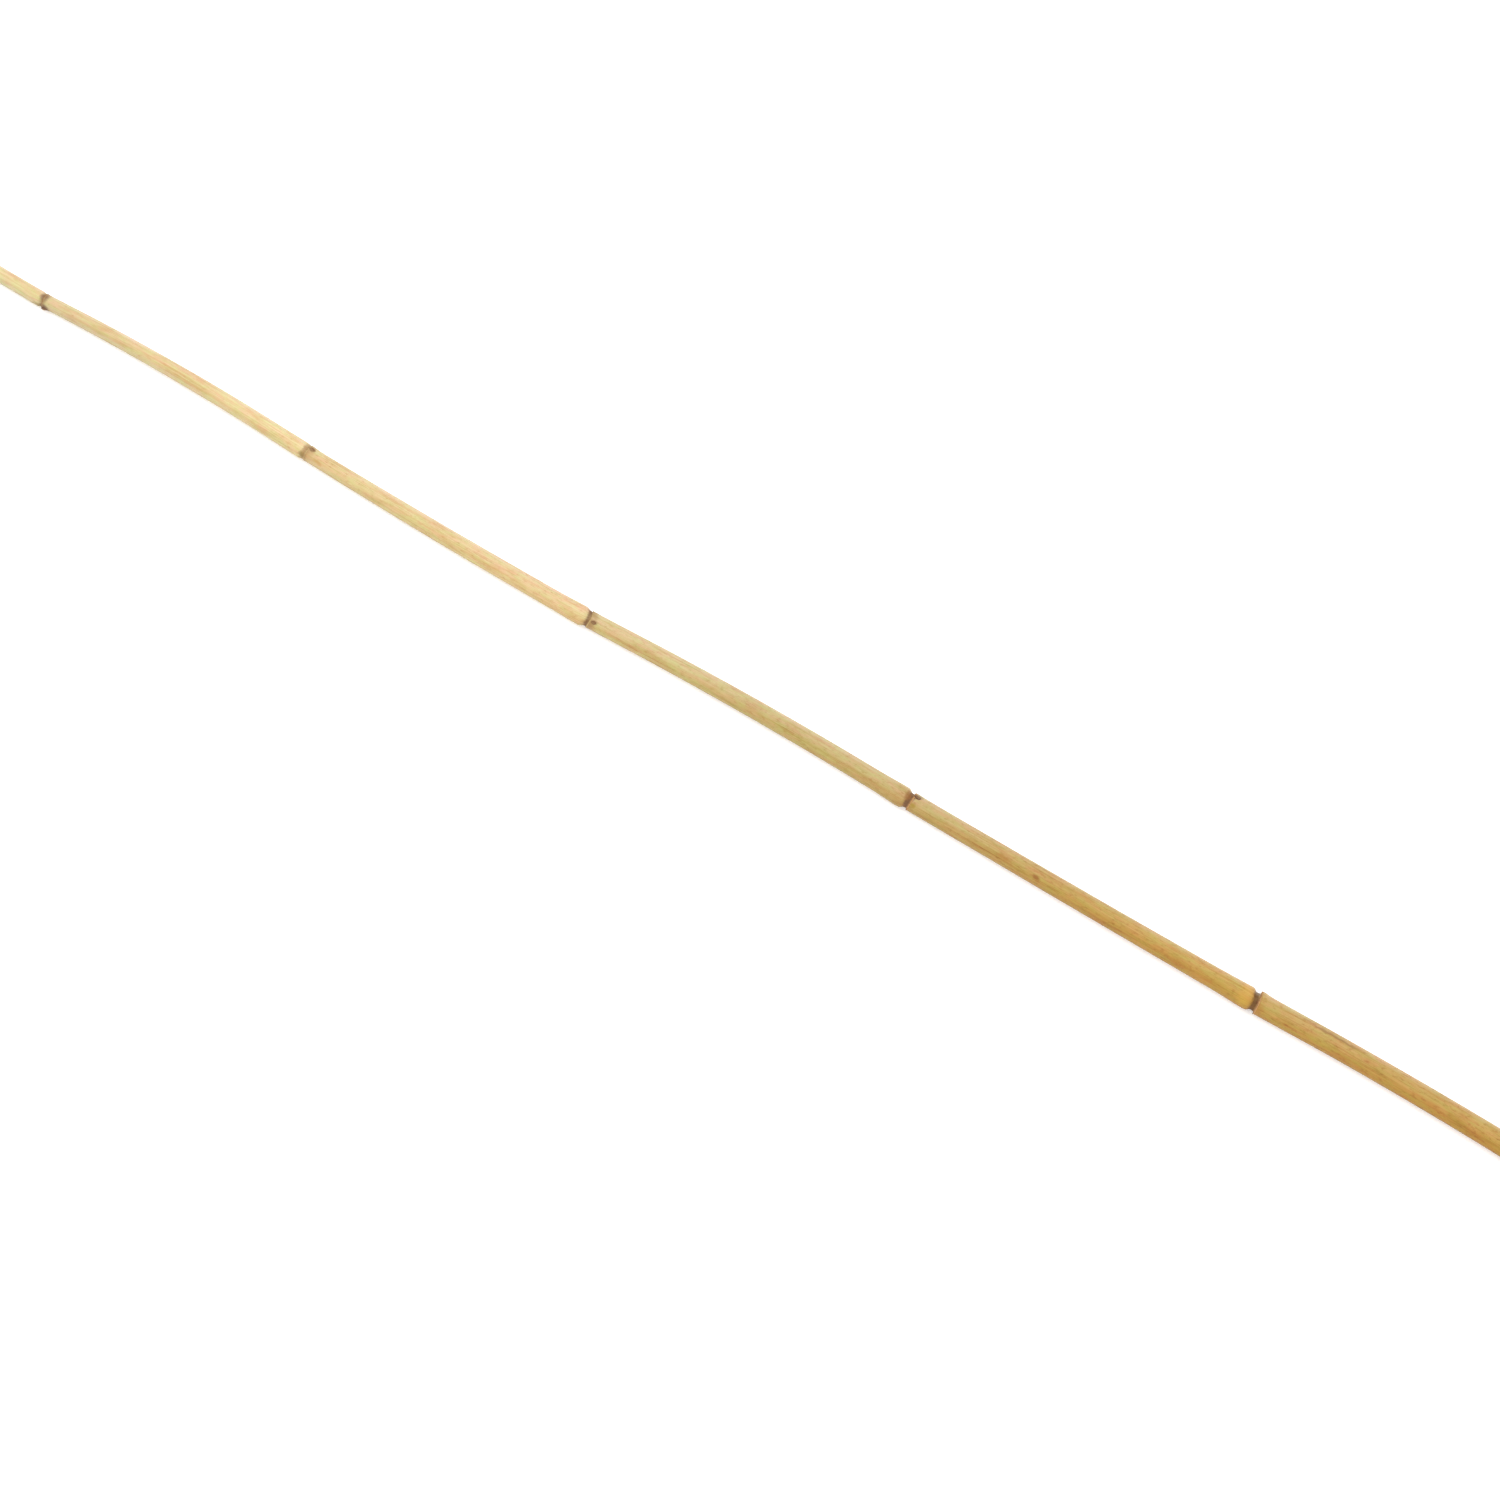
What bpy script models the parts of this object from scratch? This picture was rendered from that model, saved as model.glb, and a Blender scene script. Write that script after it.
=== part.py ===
"""A bamboo cane, sawn at both ends and lying on a surface, as one grown piece.

Metres, +Z up. The cane lies along X, with its thin tip end at -X and its thick butt end at +X.
The origin is the middle of its box, on the surface that it rests on.
Angles round the cane are in degrees from straight up, and grow towards -Y.
"""

import math
from collections import namedtuple

import bmesh
import bpy
from mathutils import Matrix, Vector

MM = 0.001

# The joints of the cane, from the tip to the butt. Lengths are in millimetres, angles in degrees.
# swell: rise of the shoulder on the tip side      groove: depth of the dark ring groove
# lip: rise of the sheath scar on the butt side    lean: how far the ring leans out of square
# bud_angle, bud_along, bud_rise: where the trimmed bud sits and how far it stands out
# channel: depth of the shallow furrow that the bud pressed into the internode above it
Node = namedtuple("Node", "swell groove lip lean bud_angle bud_along bud_rise channel")
NODES = (
    Node(0.15, 0.50, 0.38, 1.5, 108.0, 1.0, 0.50, 0.20),
    Node(0.05, 0.25, 0.26, -2.0, -54.0, 1.6, 0.75, 0.30),
    Node(0.30, 0.80, 0.05, 2.0, 40.0, 3.6, 0.30, 0.25),
    Node(0.35, 1.15, -0.12, -6.0, -40.0, 3.4, 0.50, 0.35),
    Node(0.30, 1.40, 0.20, 5.0, 78.0, -2.0, 0.30, 0.35),
)

# The stretches between the sawn tip end, the five rings and the sawn butt end
INTERNODE_LENGTHS = (79.0, 227.0, 225.0, 233.0, 232.0, 204.0)
# Diameter of each stretch where it begins, in its middle and where it ends, from the tip
INTERNODE_DIAMETERS = (
    (10.5, 10.5, 10.4),
    (9.6, 10.7, 11.3),
    (10.4, 11.5, 12.0),
    (11.1, 11.9, 12.2),
    (11.7, 12.0, 13.0),
    (13.5, 13.1, 14.2),
)
# Heading of each stretch in plan where it begins and where it ends, which bows it sideways
HEADINGS = ((-1.1, 0.3), (2.5, -2.8), (-1.9, 0.8), (2.5, -1.4), (-1.1, 0.6), (1.6, -2.7))
# How far the middle of each stretch arches up
ARCHES = (0.1, 0.9, 0.3, 0.7, 1.1, 0.4)
# Gap under each ring, and under the two sawn ends. A ring at 0 is one that the cane rests on.
RING_GAPS = (0.0, 0.45, 0.0, 0.0, 0.0)
END_GAPS = (0.9, 0.7)

# The rings that touch the surface have a small flat underneath, worn in by this much
WORN_FLAT = 0.16
# Each of those flats keeps one low point, which stands this far below it, on this side of the
# axis: 1 for +Y and -1 for -Y. The cane stands on these four points and doesn't rock.
LOW_POINT_DEPTH = 0.03
LOW_POINT_SIDES = {0: 1, 2: -1, 3: 1, 4: 1}
# How oval the cane is, and how many degrees the oval turns along its whole length
OVAL = 0.012
OVAL_TURN = 150.0

# The hollow that shows at each sawn end runs as far as the wall inside the nearest ring
BORE_SHARE = 0.34
NODE_WALL = 4.0
SAWN_EDGE = 0.35

# Where the loops of the mesh lie: close together at a ring, further apart along a stretch
LOOPS_BEFORE_RING = (-30.0, -20.0, -14.0, -10.0, -7.5, -5.8, -4.6, -3.6, -2.7, -1.8, -0.8)
LOOPS_AFTER_RING = (0.3, 1.3, 2.2, 3.2, 4.4, 6.0, 8.5, 12.0, 18.0, 27.0)
RING_LOOPS = LOOPS_BEFORE_RING + LOOPS_AFTER_RING
STRETCH_STEP = 22.0
BORE_STEP = 26.0
SIDES = 28

# The shape of a joint, as widths along the cane
SHOULDER_AT, SHOULDER_SPREAD = -5.6, 5.0
GROOVE_AT, GROOVE_HALF_WIDTH = -0.6, 3.0
LIP_AT, LIP_SPREAD = 3.4, 2.4
BUD_LENGTH, BUD_WIDTH = 1.9, 22.0
CHANNEL_LENGTH, CHANNEL_WIDTH = 95.0, 24.0
LEAN_REACH, LEAN_TOWARDS = 20.0, 115.0

BAMBOO_COLOUR = (0.78, 0.62, 0.33, 1.0)
BAMBOO_ROUGHNESS = 0.42


def ring_places():
    """Distance of each ring from the tip end."""
    places, along = [], 0.0
    for length in INTERNODE_LENGTHS[:-1]:
        along += length
        places.append(along)
    return places


RINGS = ring_places()
LENGTH = sum(INTERNODE_LENGTHS)
BOUNDS = [0.0, *RINGS, LENGTH]


def stretch_at(along):
    """The stretch that holds this place, and how far through it the place is, from 0 to 1."""
    for index, length in enumerate(INTERNODE_LENGTHS):
        if along <= BOUNDS[index + 1] or index == len(INTERNODE_LENGTHS) - 1:
            return index, (along - BOUNDS[index]) / length


def bell(x, spread):
    return math.exp(-((x / spread) ** 2))


def smooth(x):
    """0 below 0, 1 above 1, and a smooth ramp between."""
    x = min(max(x, 0.0), 1.0)
    return x * x * (3 - 2 * x)


def turn_between(a, b):
    """The smaller angle between two directions round the cane, in degrees."""
    return abs((a - b + 180.0) % 360.0 - 180.0)


def plain_radius(along):
    """Radius of the stretch, with no ring, bud or furrow. Beside a ring the two stretches blend."""

    def of_stretch(index, share):
        start, middle, end = INTERNODE_DIAMETERS[index]
        belly = middle - (start + end) / 2
        return (start + (end - start) * share + 4 * belly * share * (1 - share)) / 2

    index, share = stretch_at(along)
    radius = of_stretch(index, share)
    for number, place in enumerate(RINGS):
        if abs(along - place) < GROOVE_HALF_WIDTH:
            across = smooth((along - place) / (2 * GROOVE_HALF_WIDTH) + 0.5)
            radius = of_stretch(number, 1.0) * (1 - across) + of_stretch(number + 1, 0.0) * across
    return radius


def node_relief(node, offset, angle):
    """How far the surface stands out from the plain stretch, at this distance past the ring."""
    shoulder = node.swell * bell(offset - SHOULDER_AT, SHOULDER_SPREAD)
    lip = node.lip * bell(offset - LIP_AT, LIP_SPREAD)
    inside = 1 - smooth(abs(offset - GROOVE_AT) / GROOVE_HALF_WIDTH)
    groove = node.groove * inside
    bud = (
        node.bud_rise
        * bell(offset - node.bud_along, BUD_LENGTH)
        * bell(turn_between(angle, node.bud_angle), BUD_WIDTH)
    )
    fade = smooth(-offset / 8.0) * smooth(1 + offset / CHANNEL_LENGTH)
    channel = node.channel * fade * bell(turn_between(angle, node.bud_angle), CHANNEL_WIDTH)
    return shoulder + lip - groove + bud - channel


def outer_radius(along, angle):
    turned = math.radians(2 * (angle - OVAL_TURN * along / LENGTH))
    radius = plain_radius(along) * (1 + OVAL * math.cos(turned))
    return radius + sum(node_relief(node, along - at, angle) for node, at in zip(NODES, RINGS))


def lean_shift(along, angle):
    """A leaning ring carries the loops beside it along the cane, by an amount that fades out."""
    shift = 0.0
    for node, place in zip(NODES, RINGS):
        reach = 1 - smooth(abs(along - place) / LEAN_REACH)
        shift += reach * math.tan(math.radians(node.lean))
    return shift * math.cos(math.radians(angle - LEAN_TOWARDS)) * plain_radius(along)


def resting_height(number):
    """Height of the axis at a ring, from the widest radius under it."""
    under = max(outer_radius(RINGS[number] + offset, 180.0) for offset in RING_LOOPS)
    gap = RING_GAPS[number]
    return under + (gap if gap else -WORN_FLAT)


HEIGHTS = [
    INTERNODE_DIAMETERS[0][0] / 2 + END_GAPS[0],
    *[resting_height(number) for number in range(len(RINGS))],
    INTERNODE_DIAMETERS[-1][-1] / 2 + END_GAPS[1],
]


def axis_point(along):
    """The middle of the cane at this distance from the tip, before it is centred on the origin."""
    side = 0.0
    index, share = stretch_at(along)
    for number in range(index + 1):
        begins, ends = (math.radians(heading) for heading in HEADINGS[number])
        reach = 1.0 if number < index else share
        side += INTERNODE_LENGTHS[number] * (begins * reach + (ends - begins) * reach**2 / 2)
    height = HEIGHTS[index] + (HEIGHTS[index + 1] - HEIGHTS[index]) * share
    arch = 4 * ARCHES[index] * share * (1 - share)
    return Vector((along - LENGTH / 2, side, height + arch))


def section_frame(along):
    """Turns a section, drawn across X at the origin, square to the axis at this place."""
    reach = 6.0
    behind, ahead = max(along - reach, 0.0), min(along + reach, LENGTH)
    forward = (axis_point(ahead) - axis_point(behind)).normalized()
    across = Vector((0, 0, 1)).cross(forward).normalized()
    up = forward.cross(across)
    turned = Matrix((forward, across, up)).transposed().to_4x4()
    return Matrix.Translation(axis_point(along)) @ turned


def loop_points(along, radius_at, shift_at=lambda along, angle: 0.0):
    """One loop round the cane, in millimetres. A flat side of it faces straight down."""
    frame, points = section_frame(along), []
    for side in range(SIDES):
        angle = (side + 0.5) * 360.0 / SIDES
        turn, radius = math.radians(angle), radius_at(along, angle)
        local = Vector(
            (shift_at(along, angle), -radius * math.sin(turn), radius * math.cos(turn))
        )
        points.append(frame @ local)
    return points


def outside_places():
    """Places of the loops along the outside, between the two sawn edges."""
    places = {SAWN_EDGE, LENGTH - SAWN_EDGE}
    for ring in RINGS:
        places |= {ring + offset for offset in RING_LOOPS}
    for start, end in zip(BOUNDS, BOUNDS[1:]):
        start = start + (RING_LOOPS[-1] if start > 0 else SAWN_EDGE)
        end = end + (RING_LOOPS[0] if end < LENGTH else -SAWN_EDGE)
        steps = max(2, round((end - start) / STRETCH_STEP))
        places |= {round(start + (end - start) * step / steps, 3) for step in range(1, steps)}
    return sorted(places)


def bore_places(mouth, wall):
    """Places of the loops down the hollow, from its mouth to the wall inside the ring."""
    steps = max(2, round(abs(wall - mouth) / BORE_STEP))
    return [mouth + (wall - mouth) * step / steps for step in range(steps + 1)]


def bore_radius(along, angle):
    return BORE_SHARE * plain_radius(along)


def sawn_radius(along, angle):
    """The rim of a sawn face, just inside the skin."""
    return outer_radius(along, angle) - SAWN_EDGE


def culm_loops():
    """Every loop in order: out of the tip's hollow, along the outside, into the butt's hollow."""
    tip_bore = bore_places(0.0, RINGS[0] - NODE_WALL)
    butt_bore = bore_places(LENGTH, RINGS[-1] + NODE_WALL)
    loops = [loop_points(place, bore_radius) for place in reversed(tip_bore)]
    loops.append(loop_points(0.0, sawn_radius))
    loops += [loop_points(place, outer_radius, lean_shift) for place in outside_places()]
    loops.append(loop_points(LENGTH, sawn_radius))
    loops += [loop_points(place, bore_radius) for place in butt_bore]
    return loops


def lowest_beside(verts, number, side):
    """The lowest vertex of this ring on one side of the axis."""
    axis = axis_point(RINGS[number]) * MM
    near = [vert for vert in verts if abs(vert.co.x - axis.x) < SHOULDER_SPREAD * 2 * MM]
    return min((vert for vert in near if (vert.co.y - axis.y) * side > 0), key=lambda vert: vert.co.z)


def wear_flats(verts):
    """Wears the resting rings flat underneath, but for one low point on each."""
    low = [lowest_beside(verts, number, side) for number, side in LOW_POINT_SIDES.items()]
    for vert in verts:
        vert.co.z = max(vert.co.z, LOW_POINT_DEPTH * MM)
    for vert in low:
        vert.co.z = 0.0


def skin_mesh(name, loops):
    """One closed skin over the loops, with a face across the first loop and the last."""
    bm = bmesh.new()
    rows = [[bm.verts.new(point * MM) for point in loop] for loop in loops]
    rings = [[bm.edges.new((row[side - 1], row[side])) for side in range(SIDES)] for row in rows]
    for first, second in zip(rings, rings[1:]):
        bmesh.ops.bridge_loops(bm, edges=first + second)
    bm.faces.new(rows[0])
    bm.faces.new(rows[-1])
    bmesh.ops.recalc_face_normals(bm, faces=bm.faces)
    wear_flats(bm.verts)
    mesh = bpy.data.meshes.new(name)
    bm.to_mesh(mesh)
    bm.free()
    return mesh


def centre_on_origin(mesh):
    """Puts the middle of the mesh's box on the origin in plan, and leaves its height alone."""
    for axis in (0, 1):
        values = [vert.co[axis] for vert in mesh.vertices]
        middle = (min(values) + max(values)) / 2
        for vert in mesh.vertices:
            vert.co[axis] -= middle


def bamboo_material():
    material = bpy.data.materials.new("bamboo")
    material.use_nodes = True
    shader = material.node_tree.nodes["Principled BSDF"]
    shader.inputs["Base Color"].default_value = BAMBOO_COLOUR
    shader.inputs["Roughness"].default_value = BAMBOO_ROUGHNESS
    shader.inputs["Metallic"].default_value = 0.0
    return material


def clear_scene():
    for obj in list(bpy.data.objects):
        bpy.data.objects.remove(obj)


def build_cane():
    mesh = skin_mesh("cane", culm_loops())
    centre_on_origin(mesh)
    mesh.materials.append(bamboo_material())
    mesh.shade_smooth()
    mesh.set_sharp_from_angle(angle=math.radians(40))
    cane = bpy.data.objects.new("cane", mesh)
    bpy.context.scene.collection.objects.link(cane)
    return cane


clear_scene()
build_cane()
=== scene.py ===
import math
import random
from collections import namedtuple

import bpy
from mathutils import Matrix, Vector


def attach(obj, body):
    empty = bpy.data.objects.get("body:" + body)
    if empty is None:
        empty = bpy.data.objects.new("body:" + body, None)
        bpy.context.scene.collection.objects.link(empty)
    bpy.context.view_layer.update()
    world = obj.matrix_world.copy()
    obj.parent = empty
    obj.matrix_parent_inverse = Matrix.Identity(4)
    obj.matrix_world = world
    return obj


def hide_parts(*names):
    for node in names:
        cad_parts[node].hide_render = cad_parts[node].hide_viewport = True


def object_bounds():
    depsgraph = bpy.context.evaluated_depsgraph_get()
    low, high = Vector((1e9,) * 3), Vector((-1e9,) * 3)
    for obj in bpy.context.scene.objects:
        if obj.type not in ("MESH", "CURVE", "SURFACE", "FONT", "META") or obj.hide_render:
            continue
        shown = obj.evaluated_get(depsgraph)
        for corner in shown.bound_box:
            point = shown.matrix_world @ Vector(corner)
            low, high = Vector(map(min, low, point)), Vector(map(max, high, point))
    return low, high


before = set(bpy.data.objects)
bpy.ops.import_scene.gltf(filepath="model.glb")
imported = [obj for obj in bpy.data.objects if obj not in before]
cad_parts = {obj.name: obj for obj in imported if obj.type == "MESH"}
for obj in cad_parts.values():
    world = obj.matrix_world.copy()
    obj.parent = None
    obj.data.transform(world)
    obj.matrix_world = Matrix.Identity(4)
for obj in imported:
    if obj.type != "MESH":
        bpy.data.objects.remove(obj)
SOLID_BOX = [list(corner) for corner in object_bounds()]

MM = 0.001

# The camera stands where the photograph was taken from
CAMERA_PLACE = (0.48593, -0.64503, 1.305)
CAMERA_AZIMUTH, CAMERA_ELEVATION = 33.97, 60.0
FOCAL_LENGTH, SENSOR_WIDTH = 60.0, 36.0

# The cane is made straight, from its tip end at 0 along +X, and is bent to its wave at the end.
# Lengths are in millimetres. Angles round it are in degrees from straight up, towards -Y.
STRETCH_LENGTHS = (80.6, 226.1, 225.1, 233.2, 231.8, 203.2)
# Diameter of each stretch where it begins, in its middle and where it ends, from the tip
STRETCH_DIAMETERS = (
    (10.5, 10.5, 10.4),
    (9.6, 10.7, 11.3),
    (10.4, 11.5, 12.0),
    (11.1, 11.9, 12.2),
    (11.7, 12.0, 13.0),
    (13.5, 13.1, 14.2),
)

# The joints from the tip. swell, groove and lip are how far the shoulder, the dark groove and the
# sheath scar stand out or in. The _side values lean that relief to the near lower side of the cane.
# lean is how many degrees the ring is out of square, and dip how far it wanders to the butt on the
# near side. furrow is how deep the bud pressed into the skin on the tip side of its joint.
Joint = namedtuple("Joint", "swell swell_side groove groove_side lip lip_side lean dip furrow")
JOINTS = (
    Joint(0.18, 0.2, 0.42, 0.2, 0.30, 0.5, 3.0, 0.6, 0.20),
    Joint(0.10, 0.2, 0.30, 0.3, 0.26, -0.4, -2.0, 0.4, 0.30),
    Joint(0.36, 0.3, 0.75, 0.0, 0.10, 0.0, 2.0, 2.2, 0.25),
    Joint(0.46, 0.3, 1.15, -0.15, 0.10, -0.5, -2.0, 1.0, 0.35),
    Joint(0.40, 0.5, 1.30, -0.1, 0.28, -0.8, 6.0, 0.9, 0.35),
)
# Angles round the cane: the lower edge of the side that the camera sees, and that side's middle
NEAR_SIDE, NEAR_MIDDLE = 115.0, 26.0
# A lean and a dip die out this far from the joint. A dip's half width is in degrees.
LEAN_REACH, DIP_WIDTH = 20.0, 60.0
# A furrow deepens over the first length from its joint, and has faded out by the second. Its half
# width is in degrees.
FURROW_START, FURROW_LENGTH, FURROW_WIDTH = 8.0, 95.0, 24.0
# Nothing of a joint is carved further before it or past it than this
CARVED_BEFORE, CARVED_PAST = 110.0, 30.0
# The thickness changes from one stretch's to the next's over this length
STEP_LENGTH = 4.0

# The trimmed branch stubs: where each sits past its joint and round it, its size across and height
Stub = namedtuple("Stub", "past angle width height")
STUBS = (
    Stub(3.4, 102.0, 2.4, 0.65),
    Stub(4.3, -14.0, 2.2, 0.45),
    Stub(4.9, 34.0, 1.7, 0.38),
    Stub(3.9, -16.0, 2.0, 0.50),
    Stub(4.6, 150.0, 2.6, 0.55),
)
# A stub is drawn out along the cane by this much
STUB_STRETCH = 1.75
# How thick a sheath scar is, and the half width in degrees of the nicks in its torn edge
SCAR_THICKNESS, NICK_WIDTH = 0.14, 4.0

# Loops of the mesh before and after each joint, and their spacing along a stretch
LOOPS_BEFORE_JOINT = (
    -30.0, -22.0, -16.0, -12.0, -9.0, -7.0, -5.6, -4.6, -3.8, -3.1, -2.5, -2.0, -1.5, -1.0, -0.5,
)
LOOPS_AFTER_JOINT = (0.0, 0.5, 1.0, 1.4, 1.8, 2.2, 2.7, 3.3, 4.1, 5.2, 7.0, 9.5, 13.0, 18.0, 25.0)
STRETCH_STEP = 14.0
SIDES, SCAR_SIDES, STUB_SIDES = 24, 96, 24
# A smoothed tube comes out this much thinner than the loops that it is drawn with
SMOOTHED_SHARE = (2 + math.cos(2 * math.pi / SIDES)) / 3

# The hollow in a sawn end: its share of the cane's radius, and how far it stops short of a joint
BORE_SHARE, JOINT_WALL = 0.34, 4.0
# How much the rim of a sawn end is rounded off, and where the loops near an end lie
SAWN_EDGE, END_LOOPS = 0.3, (0.35, 1.2, 4.0)
# The slants of the saw cuts in degrees, at the tip and at the butt, and how deep they are felt
CUT_SLANTS, CUT_REACH = (2.0, -1.5), 6.0
# How many chips each rim has, and how deep they are felt
CHIP_COUNT, CHIP_REACH = 6, 1.5
# The grain is laid out on this radius, whatever the cane's own is
WRAP_RADIUS = 6.0


def joint_places():
    places, along = [], 0.0
    for length in STRETCH_LENGTHS[:-1]:
        along += length
        places.append(along)
    return places


JOINT_PLACES = joint_places()
LENGTH = sum(STRETCH_LENGTHS)
BOUNDS = [0.0, *JOINT_PLACES, LENGTH]


def smooth(x):
    x = min(max(x, 0.0), 1.0)
    return x * x * (3 - 2 * x)


def bell(x, spread):
    return math.exp(-((x / spread) ** 2))


def turn_between(a, b):
    return abs((a - b + 180.0) % 360.0 - 180.0)


def angle_round(point):
    """Degrees round the straight cane's axis, from straight up towards -Y."""
    return math.degrees(math.atan2(-point.y, point.z))


def colour(text):
    """A colour written as six hexadecimal digits, in the linear values that a shader takes."""
    parts = [int(text[at : at + 2], 16) / 255 for at in (0, 2, 4)]
    return (*[c / 12.92 if c < 0.04045 else ((c + 0.055) / 1.055) ** 2.4 for c in parts], 1.0)


# Shape of the cane


def plain_radius(along):
    def of_stretch(index, share):
        start, middle, end = STRETCH_DIAMETERS[index]
        belly = middle - (start + end) / 2
        return (start + (end - start) * share + 4 * belly * share * (1 - share)) / 2

    index = next((n for n in range(len(JOINTS)) if along <= JOINT_PLACES[n]), len(JOINTS))
    radius = of_stretch(index, (along - BOUNDS[index]) / STRETCH_LENGTHS[index])
    for number, place in enumerate(JOINT_PLACES):
        if abs(along - place) < STEP_LENGTH / 2:
            across = smooth((along - place) / STEP_LENGTH + 0.5)
            radius = of_stretch(number, 1.0) * (1 - across) + of_stretch(number + 1, 0.0) * across
    return radius


def shoulder_shape(offset):
    return smooth((offset + 25) / 19) * (1 - smooth((offset + 4.8) / 3.6))


def groove_shape(offset):
    return smooth((offset + 3.6) / 2.6) * (1 - smooth((offset - 0.5) / 1.7))


def lip_shape(offset):
    return smooth((offset - 1.0) / 1.1) * (1 - smooth((offset - 2.6) / 5.5))


def joint_relief(joint, offset):
    return (
        joint.swell * shoulder_shape(offset)
        + joint.lip * lip_shape(offset)
        - joint.groove * groove_shape(offset)
    )


def round_radius(along):
    """Radius of the straight cane, before what isn't the same all round is carved."""
    relief = sum(joint_relief(joint, along - at) for joint, at in zip(JOINTS, JOINT_PLACES))
    return plain_radius(along) + relief


def loop_radius(along):
    return round_radius(along) / SMOOTHED_SHARE


def loop_places():
    places = {*END_LOOPS, *(LENGTH - inwards for inwards in END_LOOPS)}
    for place in JOINT_PLACES:
        places |= {place + offset for offset in LOOPS_BEFORE_JOINT + LOOPS_AFTER_JOINT}
    for start, end in zip(BOUNDS, BOUNDS[1:]):
        start += LOOPS_AFTER_JOINT[-1] if start > 0 else END_LOOPS[-1]
        end += LOOPS_BEFORE_JOINT[0] if end < LENGTH else -END_LOOPS[-1]
        steps = max(2, round((end - start) / STRETCH_STEP))
        places |= {round(start + (end - start) * step / steps, 3) for step in range(1, steps)}
    return sorted(places)


# Working on a piece


def deselect():
    bpy.ops.object.select_all(action="DESELECT")


def only(piece):
    deselect()
    piece.select_set(True)
    bpy.context.view_layer.objects.active = piece


def apply(piece, kind, **settings):
    only(piece)
    modifier = piece.modifiers.new(kind.title(), kind)
    for name, value in settings.items():
        setattr(modifier, name, value)
    bpy.ops.object.modifier_apply(modifier=modifier.name)


def add_circle(sides, radius, place, fill, turned=True):
    """A circle across the straight cane, or flat on top of it, ready in edit mode."""
    deselect()
    bpy.ops.mesh.primitive_circle_add(
        vertices=sides,
        radius=radius * MM,
        fill_type=fill,
        location=[value * MM for value in place],
        rotation=(0, math.pi / 2 if turned else 0, 0),
    )
    piece = bpy.context.object
    bpy.ops.object.transform_apply(location=True, rotation=True, scale=True)
    bpy.ops.object.mode_set(mode="EDIT")
    bpy.ops.mesh.select_all(action="SELECT")
    return piece


def extrude_to(shift, grow, place):
    """Draws the selected end on by shift along X, and scales it about the cane's axis."""
    bpy.ops.mesh.extrude_region_move(TRANSFORM_OT_translate={"value": (shift * MM, 0, 0)})
    bpy.ops.transform.resize(value=(1, grow, grow), center_override=(place * MM, 0, 0))


def face_outwards():
    bpy.ops.mesh.select_all(action="SELECT")
    bpy.ops.mesh.normals_make_consistent(inside=False)
    bpy.ops.object.mode_set(mode="OBJECT")


def select_end(piece, at_butt):
    """Selects the one face that closes an end of the tube, in edit mode."""
    bpy.ops.mesh.select_all(action="DESELECT")
    bpy.ops.object.mode_set(mode="OBJECT")
    ends = sorted(piece.data.polygons, key=lambda face: face.center.x)
    ends[-1 if at_butt else 0].select = True
    bpy.ops.object.mode_set(mode="EDIT")


def drill_end(piece, at_butt):
    """The sawn face with its rounded rim, and the hollow as far as the wall at the next joint."""
    inwards = -1 if at_butt else 1
    place = LENGTH if at_butt else 0.0
    wall = JOINT_PLACES[-1] + JOINT_WALL if at_butt else JOINT_PLACES[0] - JOINT_WALL
    bottom = abs(wall - place)
    outer = plain_radius(place) - SAWN_EDGE
    bore = BORE_SHARE * plain_radius(place)
    select_end(piece, at_butt)
    # Rings of faces from the rim to the mouth of the hollow, and then loops down its wall
    for step in (0.35, (outer - bore) * 0.4, (outer - bore) * 0.6 - 0.6, 0.2):
        bpy.ops.mesh.inset(thickness=step * MM)
    depth = 0.0
    for deeper in (0.25, 0.8, 4.0, 14.0, 35.0, bottom - 3.0, bottom):
        if deeper <= bottom:
            extrude_to(inwards * (deeper - depth), 1.0, place)
            depth = deeper


def straight_tube():
    loops = loop_places()
    place, radius = 0.0, loop_radius(loops[0]) - SAWN_EDGE
    piece = add_circle(SIDES, radius, (0, 0, 0), "NGON")
    for along in loops:
        extrude_to(along - place, loop_radius(along) / radius, along)
        place, radius = along, loop_radius(along)
    extrude_to(LENGTH - place, (radius - SAWN_EDGE) / radius, LENGTH)
    drill_end(piece, True)
    drill_end(piece, False)
    face_outwards()
    return piece


def give_end_faces(piece):
    """The skin is slot 0, the sawn faces slot 1 and the hollows slot 2."""
    for face in piece.data.polygons:
        along = face.center.x / MM
        from_axis = math.hypot(face.center.y, face.center.z) / MM
        bore = BORE_SHARE * plain_radius(min(max(along, 0.0), LENGTH))
        if from_axis < bore * 1.05:
            face.material_index = 2
        elif min(along, LENGTH - along) < 0.1:
            face.material_index = 1


def keep_straight_places(piece):
    """Every point remembers where it was on the straight cane, for the grain and the markings."""
    straight = piece.data.attributes.new("straight", "FLOAT_VECTOR", "POINT")
    places = [0.0] * (3 * len(piece.data.vertices))
    piece.data.vertices.foreach_get("co", places)
    straight.data.foreach_set("vector", places)


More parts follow.
